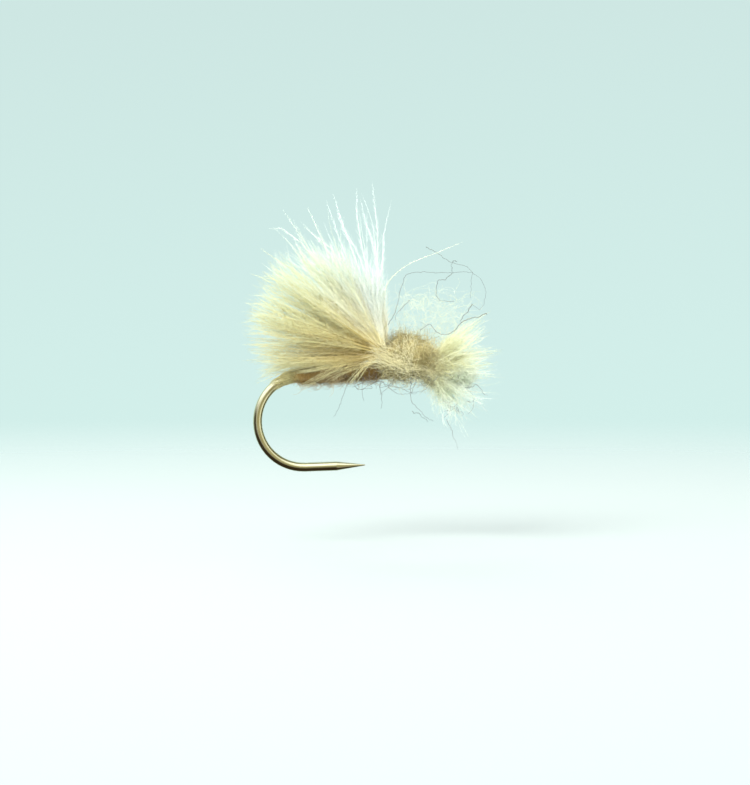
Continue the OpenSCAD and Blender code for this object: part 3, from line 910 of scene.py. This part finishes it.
# Stray guard hairs of the fur: thickness, depth at the root and at the tip, and a route of (x, z).
GUARD_HAIRS = [
    (0.012, -0.3, -0.9, [(-1.36, 7.76), (-0.72, 7.41), (-0.18, 7.06), (0.41, 6.82), (0.99, 6.53),
     (1.3, 6.08), (1.28, 5.43), (1.14, 4.56)]),
    (0.012, -0.6, -0.8, [(0.41, 6.82), (0.07, 6.67), (0.06, 6.34), (0.22, 6.12)]),
    (0.012, -0.9, -0.4, [(-3.82, 3.11), (-3.35, 3.85), (-3.0, 4.49), (-2.75, 5.36), (-2.52, 5.89),
     (-1.96, 6.15), (-0.98, 6.16), (0.22, 6.12), (1.31, 6.1), (1.84, 5.79), (2.09, 5.29), (1.96, 4.64),
     (1.66, 4.0), (1.24, 4.2)]),
    (0.014, -0.8, -0.2, [(0.16, 6.12), (-0.23, 5.86), (-0.72, 5.77), (-0.86, 5.07), (-0.71, 4.63),
     (-0.28, 4.5), (0.21, 4.46)]),
    (0.02, -0.6, -1.2, [(1.24, 4.23), (0.89, 3.75), (0.6, 3.27), (0.32, 2.96)]),
    (0.019, -0.7, -1.3, [(2.08, 3.55), (1.1, 3.47), (0.66, 3.27), (0.32, 2.9), (-0.02, 2.64), (-0.46, 2.53),
     (-0.89, 2.7), (-1.31, 3.07), (-1.64, 2.97), (-1.93, 2.66)]),
    (0.012, -0.5, -0.9, [(-2.45, 4.58), (-2.74, 4.32), (-3.02, 4.06), (-3.37, 3.42)]),
    (0.012, -0.6, -0.9, [(-6.0, 0.1), (-6.22, -0.07), (-6.69, -0.93), (-7.05, -1.79), (-7.28, -2.21)]),
    (0.014, -0.5, -0.6, [(-4.38, -0.2), (-4.39, -0.79), (-4.43, -1.83)]),
    (0.014, -0.6, -0.9, [(-2.6, -0.2), (-2.61, -1.08), (-2.52, -1.62), (-2.16, -2.13), (-1.73, -2.52),
     (-1.3, -2.67)]),
    (0.012, -0.9, -0.6, [(-2.59, -2.0), (-2.16, -2.18), (-1.84, -2.47), (-1.63, -2.69)]),
    (0.011, -0.5, -0.6, [(-5.91, -0.3), (-5.91, -0.41), (-5.7, -0.69), (-5.26, -0.65), (-5.03, -0.39),
     (-5.3, -0.27), (-5.79, -0.31)]),
    (0.014, -0.8, -1.0, [(0.1, -0.4), (0.4, -0.64), (0.95, -0.61), (1.49, -0.68), (1.75, -1.13),
     (1.96, -1.24)]),
    (0.012, -0.5, -0.8, [(-0.5, -2.6), (-0.24, -3.23), (-0.1, -3.89), (0.1, -4.44)]),
    (0.011, -0.7, -0.8, [(-5.03, -0.33), (-4.48, -0.24), (-4.06, -0.48), (-3.3, -0.62), (-2.66, -0.97),
     (-1.78, -0.89), (-1.27, -0.36)]),
    (0.011, -0.4, -0.6, [(-4.17, -0.3), (-4.17, -0.47), (-3.63, -0.82), (-2.99, -1.01), (-2.22, -0.93)]),
]


def headings(rng, count, forward, spread, sideways, up):
    """Directions about straight up (up 1) or straight down (up -1), leaning forward on the whole."""
    return np.stack([rng.normal(forward, spread, count), rng.normal(0, sideways, count), np.full(count, up)],
                    axis=1)


def make_guard_hairs():
    rng = np.random.default_rng(23)
    fibres = Fibres()
    for radius, near, far, route in GUARD_HAIRS:
        depth = np.linspace(near, far, len(route))
        path = smooth_path([(x, y, z) for (x, z), y in zip(route, depth)], 12 * len(route))
        kinks = np.cumsum(rng.normal(0, 0.02, path.shape), axis=0)
        path = path + kinks - np.linspace(0, 1, len(path))[:, None] * kinks[-1]
        fibres.add(path[None], taper(radius, 0.6, len(path)), rng.uniform(0.1, 0.7, 1), sides=5)
    # Hairs that hang from the underside of the body; past the thorax they start along the abdomen.
    count, thorax_end = 95, 2.6
    s = rng.uniform(0, THORAX_SHAPE[0, 0] - THORAX_SHAPE[-1, 0] + 1.5, count)
    root = thorax_surface(np.minimum(s, thorax_end), rng.uniform(2.2, 4.4, count), 0.0)
    root[:, 0] -= np.maximum(s - thorax_end, 0)
    root[:, 2] = np.maximum(root[:, 2], SHANK_Z - 0.6)
    heading = headings(rng, count, 0, 0.8, 0.5, -1.0)
    strands = curly(rng, root, heading, rng.uniform(0.7, 1.9, count), rng.uniform(1, 7, count), 18, 0.2)
    fibres.add(strands, 0.0095, rng.uniform(0.5, 1.2, count), sides=4)
    # Hairs that hang in the lower hackle.
    count = 22
    root = np.stack([rng.uniform(*reach, count) for reach in ((-0.8, 1.2), (-1.6, 1.2), (-2.2, 0.4))], axis=1)
    heading = headings(rng, count, 0.4, 0.8, 0.4, -1.0)
    strands = curly(rng, root, heading, rng.uniform(0.5, 1.6, count), rng.uniform(2, 7, count), 16, 0.2)
    fibres.add(strands, 0.008, rng.uniform(0.4, 1.2, count), sides=4)
    dark = [(0.0, (66, 58, 46), (116, 112, 104)), (1.0, (58, 62, 66), (120, 126, 130))]
    place(fibres.build("guard_hairs", fibre_material("guard_hair", dark, 0.4, 0.0, 0.1)), "thorax_fur",
          "thorax_dubbing")


# ---- hackle
# Reach of the hackle at each angle above the line of the eye, seen from the side: degrees, mm.
HACKLE_OUTLINE = np.array([(-104, 2.9), (-88, 4.3), (-62, 4.5), (-40, 3.9), (-11, 3.1), (10, 3.3),
                           (24, 3.5), (52, 4.1), (68, 2.8), (95, 2.1)])
HACKLE_BANDS = {
    "upper": [(0.0, (196, 184, 132), (242, 234, 186)), (0.22, (216, 208, 162), (247, 243, 206)),
              (0.45, (228, 226, 186), (248, 248, 216)), (0.95, (226, 231, 202), (248, 251, 234))],
    "lower": [(0.0, (198, 187, 138), (242, 236, 190)), (0.22, (218, 212, 170), (247, 245, 214)),
              (0.42, (224, 228, 198), (246, 249, 228)), (0.95, (221, 234, 222), (248, 252, 246))],
}
# One long white barb stands out of the root of the wing and curves forward over the fly.
WHITE_BARB = [(-3.95, -0.3, 2.6), (-3.98, -0.4, 4.2), (-3.84, -0.5, 5.4), (-3.61, -0.5, 5.82),
              (-3.04, -0.5, 6.35), (-2.37, -0.5, 6.76), (-1.49, -0.45, 7.11), (-0.72, -0.4, 7.35),
              (0.05, -0.4, 7.65), (0.88, -0.4, 7.95)]
DOWN_STEPS = 10
# node: seed, barbs, barbules on each
TUFTS = {
    "hackle_upper_far": (41, 78, 48),
    "hackle_lower_far": (42, 75, 34),
    "hackle_lower_near": (43, 85, 34),
    "hackle_upper_near": (44, 88, 48),
}


def tuft_barbs(fibres, rng, upper, side, barbs, each):
    """Curved barbs, half of them gathered in locks, that leave the core and fan out from the hub."""
    lock = rng.integers(0, LOCKS, barbs)
    lock_rise = np.linspace(-12, 64, LOCKS) if upper else np.linspace(-100, -6, LOCKS)
    lock_tilt = rng.permutation(np.linspace(4, 50, LOCKS))
    stray = rng.random(barbs) < 0.5
    rise = np.where(stray, rng.uniform(lock_rise[0] - 4, lock_rise[-1] + 26, barbs), lock_rise[lock])
    rise = rise + rng.normal(0, 4.5, barbs)
    tilt = np.where(stray, np.abs(rng.normal(0, 26, barbs)), lock_tilt[lock] + rng.normal(0, 7, barbs))
    tilt = np.radians(np.clip(tilt, 0, 62)) * side
    a = np.radians(rise)
    out = np.stack([np.cos(tilt) * np.cos(a), np.sin(tilt), np.cos(tilt) * np.sin(a)], axis=1)
    hub = np.array([-0.3, 0, SHANK_Z + (0.35 if upper else 0.15)])
    reach = np.interp(rise, HACKLE_OUTLINE[:, 0], HACKLE_OUTLINE[:, 1]) * (1.04 - 0.62 * rng.random(barbs))
    reach = reach * np.where(stray, 1, rng.uniform(0.8, 1.15, LOCKS)[lock])
    reach = reach / np.cos(tilt) ** 0.5
    tip = hub + out * reach[:, None]
    root = np.stack([rng.uniform(CORE_LOW[0], CORE_HIGH[0] + 0.3, barbs), 0.4 * side * rng.random(barbs),
                     SHANK_Z + 0.3 * np.sin(a)], axis=1)
    elbow = (root + hub) / 2 + 0.75 * unit(out * np.array([0, 1, 1])) + rng.normal(0, 0.2, (barbs, 3))
    t = np.linspace(0, 1, BARB_RINGS)[None, :, None]
    lines = (1 - t) ** 2 * root[:, None] + 2 * t * (1 - t) * elbow[:, None] + t ** 2 * tip[:, None]
    loose = 0.16 if upper else 0.22
    waves = TAU * t * rng.uniform(0.6, 2.4, (barbs, 1, 3)) + rng.uniform(0, TAU, (barbs, 1, 3))
    lines = lines + loose * t * np.sin(waves)
    shade = rng.uniform(-0.2, 1.1, barbs)
    radius, settings, curl, steps = ((0.015, (each, 0.65, 60, 0.006, (0.0, 0.95)), 2.6, 3) if upper else
                                     (0.013, (each, 0.8, 68, 0.0056, (0.0, 0.95)), 2.8, 4))
    add_barbs(fibres, rng, lines, radius, shade, None, settings, start=0.06, curl=curl, steps=steps)


def downy_strands(fibres, rng, base, heading, lengths, turn, along, each, bands):
    """Short curly strands of the tuft, each with barbules."""
    strands = curly(rng, base, heading, lengths, turn, DOWN_STEPS, 0.3)
    tone = rng.random(len(base))
    fibres.add(strands, 0.008, tone, along)
    barbules(fibres, strands, tone, rng, each, 0.4, 60, 0.005, bands, curl=1.5)


def tuft_collar(fibres, rng, upper, side):
    """Short strands that stand out of the core all along it."""
    count = 190
    phi = rng.uniform(0, math.pi / 2, count) + (0 if upper else math.pi / 2)
    outward = np.stack([0 * phi, side * np.sin(phi), np.cos(phi)], axis=1)
    base = np.array([0, 0, SHANK_Z]) + 0.35 * outward
    base[:, 0] = 0.55 - 2.15 * rng.random(count) ** 0.6
    lengths = rng.uniform(0.6, 1.5, count) * np.where(outward[:, 2] < -0.3, 0.6, 1)
    along = (0.1 + 0.2 * (base[:, 0] + 1.6))[:, None] + np.linspace(0, 0.2, DOWN_STEPS + 1)
    downy_strands(fibres, rng, base, outward + rng.normal(0.1, 0.6, base.shape), lengths,
                  rng.uniform(2, 6, count), along, 14, (0.2, 0.5))


def tuft_veil(fibres, rng, side):
    """Strands in front of the hook's eye."""
    count = 90
    base = np.stack([rng.uniform(-0.3, 0.9, count), side * rng.uniform(0.5, 1.3, count),
                     SHANK_Z + rng.uniform(-0.75, 0.1, count)], axis=1)
    heading = np.array([0.8, 0.2 * side, -0.1]) + rng.normal(0, 0.5, base.shape)
    downy_strands(fibres, rng, base, heading, rng.uniform(0.5, 1.3, count), rng.uniform(1, 5, count),
                  np.linspace(0.55, 0.85, DOWN_STEPS + 1), 24, (0.55, 0.85))


def tuft_haze(fibres, rng):
    """The finest loose fibres, above the thorax and the hackle."""
    count, steps = 150, 18
    base = np.stack([rng.uniform(-3.6, 0.6, count), rng.normal(0, 0.8, count), rng.uniform(1.4, 4.6, count)],
                    axis=1)
    heading = headings(rng, count, 0.3, 0.7, 0.4, 1.0)
    strands = curly(rng, base, heading, rng.uniform(1, 3, count), rng.uniform(2, 8, count), steps, 0.3)
    fibres.add(strands, 0.0036, rng.uniform(0, 1, count), np.linspace(0.85, 1, steps + 1))


def white_barb(fibres, rng):
    """The one long barb along WHITE_BARB."""
    rings, tone = 24, np.array([0.95])
    barb = smooth_path(WHITE_BARB, rings)[None]
    along = np.linspace(0.6, 1, rings)
    add_barbs(fibres, rng, barb, 0.02, tone, along, (120, 0.28, 30, 0.005, (0.8, 1.0)), curl=0.5)


def make_tuft(node, seed, barbs, each):
    rng = np.random.default_rng(seed)
    upper, side = "upper" in node, -1 if "near" in node else 1
    fibres = Fibres()
    tuft_barbs(fibres, rng, upper, side, barbs, each)
    tuft_collar(fibres, rng, upper, side)
    if upper:
        tuft_haze(fibres, rng)
    else:
        tuft_veil(fibres, rng, side)
    if node == "hackle_upper_near":
        white_barb(fibres, rng)
    coat = fibre_material(node + "_barbs", HACKLE_BANDS["upper" if upper else "lower"], through=0.55)
    place(fibres.build(node + "_feather", coat), "hackle_feather", node)


# ---- thread
def helix(x_start, x_end, radius, pitch):
    """A coil round the shank, whose radius may be a profile along it."""
    turns = abs(x_end - x_start) / pitch
    t = np.linspace(0, 1, max(int(turns * 20), 8))
    angle = TAU * turns * t
    r = np.interp(t, np.linspace(0, 1, len(np.atleast_1d(radius))), np.atleast_1d(radius))
    return np.stack([x_start + (x_end - x_start) * t, r * np.sin(angle), SHANK_Z + r * np.cos(angle)], axis=1)


def make_thread(name, node, paths, radius, material):
    fibres = Fibres()
    for index, path in enumerate(paths):
        fibres.add(path[None], radius, np.array([0.35 + 0.3 * (index % 2)]), sides=7, pointed=False)
    place(fibres.build(name, material), "tying_thread", node)


def make_threads():
    material = fibre_material("tying_thread", [(0.05, (108, 98, 54), (156, 146, 94)),
                                               (0.5, (116, 104, 60), (166, 154, 102)),
                                               (0.95, (120, 112, 68), (172, 166, 116))], 0.45, 0.3, 0.05)
    thread_r = 0.034
    length = BASE_HIGH[0] - BASE_LOW[0]
    turns = length / (2 * thread_r * 0.96)
    s = np.linspace(0, length + 0.02, int(turns * 16))
    base = on_shank(s, TAU * turns * s / length, WIRE_R + thread_r * 0.9, BASE_HIGH[0])
    make_thread("thread_base_turns", "thread_base", [base], thread_r, material)
    centre_z = (LASH_LOW[2] + LASH_HIGH[2]) / 2
    half_high, half_wide = (LASH_HIGH[2] - LASH_LOW[2]) / 2, (LASH_HIGH[1] - LASH_LOW[1]) / 2
    t = np.linspace(0, 1, 220)
    turns = 9
    egg = np.stack([LASH_LOW[0] + (LASH_HIGH[0] - LASH_LOW[0]) * t,
                    (half_wide - thread_r) * np.sin(TAU * turns * t),
                    centre_z + (half_high - thread_r) * np.cos(TAU * turns * t)], axis=1)
    make_thread("wing_lashing_turns", "wing_lashing", [egg], thread_r * 1.1, material)
    core_mid = (CORE_HIGH[1] - CORE_LOW[1]) / 2 - 0.08
    rope = [helix(CORE_LOW[0] + 0.06 + k, CORE_HIGH[0] - 0.12 + k, core_mid, 0.2) for k in (0, 0.07)]
    make_thread("hackle_core_turns", "hackle_core", rope, 0.05, material)
    head_r = (HEAD_HIGH[1] - HEAD_LOW[1]) / 2
    profile = head_r * np.array([0.76, 0.96, 0.96, 0.88, 0.74]) - thread_r
    coils = [helix(HEAD_LOW[0] + 0.02, HEAD_HIGH[0] - 0.02, profile * k, 0.062) for k in (1.0, 0.84, 0.7)]
    make_thread("head_turns", "head_thread", coils, thread_r, material)
    whip_r = (WHIP_HIGH[1] - WHIP_LOW[1]) / 2
    knot = [helix(WHIP_LOW[0] + 0.01, WHIP_HIGH[0] - 0.02, whip_r - thread_r, 0.045)]
    top = SHANK_Z + whip_r
    knot.append(smooth_path([(WHIP_LOW[0], 0, top), (WHIP_LOW[0] + 0.06, -0.1, top + 0.02),
                             (WHIP_HIGH[0], -0.18, top - 0.06)], 14))
    make_thread("whip_knot", "whip_finish", knot, thread_r, material)


def make_butts():
    """The trimmed roots of the wing's barbs, packed in a bundle under the thorax."""
    rng = np.random.default_rng(31)
    low, high = box_mm("wing_butts")
    n = 150
    radius = (high[1] - low[1]) / 2
    r = radius * np.sqrt(rng.random(n)) * 0.95
    phi = rng.uniform(0, TAU, n)
    z = (low[2] + high[2]) / 2
    t = np.linspace(0, 1, 6)[None, :]
    end = rng.uniform(0.75, 1.0, n)[:, None]
    shrink = 1 - 0.55 * t
    points = np.stack([low[0] + (high[0] - low[0]) * end * t, (r * np.sin(phi))[:, None] * shrink,
                       z + (r * np.cos(phi))[:, None] * shrink], axis=-1)
    fibres = Fibres()
    fibres.add(points, 0.03, rng.random(n), pointed=False)
    material = fibre_material("butt_barbs", WING_BANDS["wing_plume_low"])
    place(fibres.build("butt_bundle", material), "wing_feather", "wing_butts")


# ---- build
make_camera()
make_floor()
make_world()
for light in LIGHTS:
    area_light(*light)
bpy.context.scene.view_settings.view_transform = "Standard"

for node, material in (("hook", wire_material()), ("head_cement", varnish_material())):
    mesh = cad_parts[node].data
    mesh.materials.clear()
    mesh.materials.append(material)

for plume, settings in PLUMES.items():
    make_plume(plume, **settings)
make_abdomen()
make_thorax()
make_guard_hairs()
for tuft, settings in TUFTS.items():
    make_tuft(tuft, *settings)
make_threads()
make_butts()
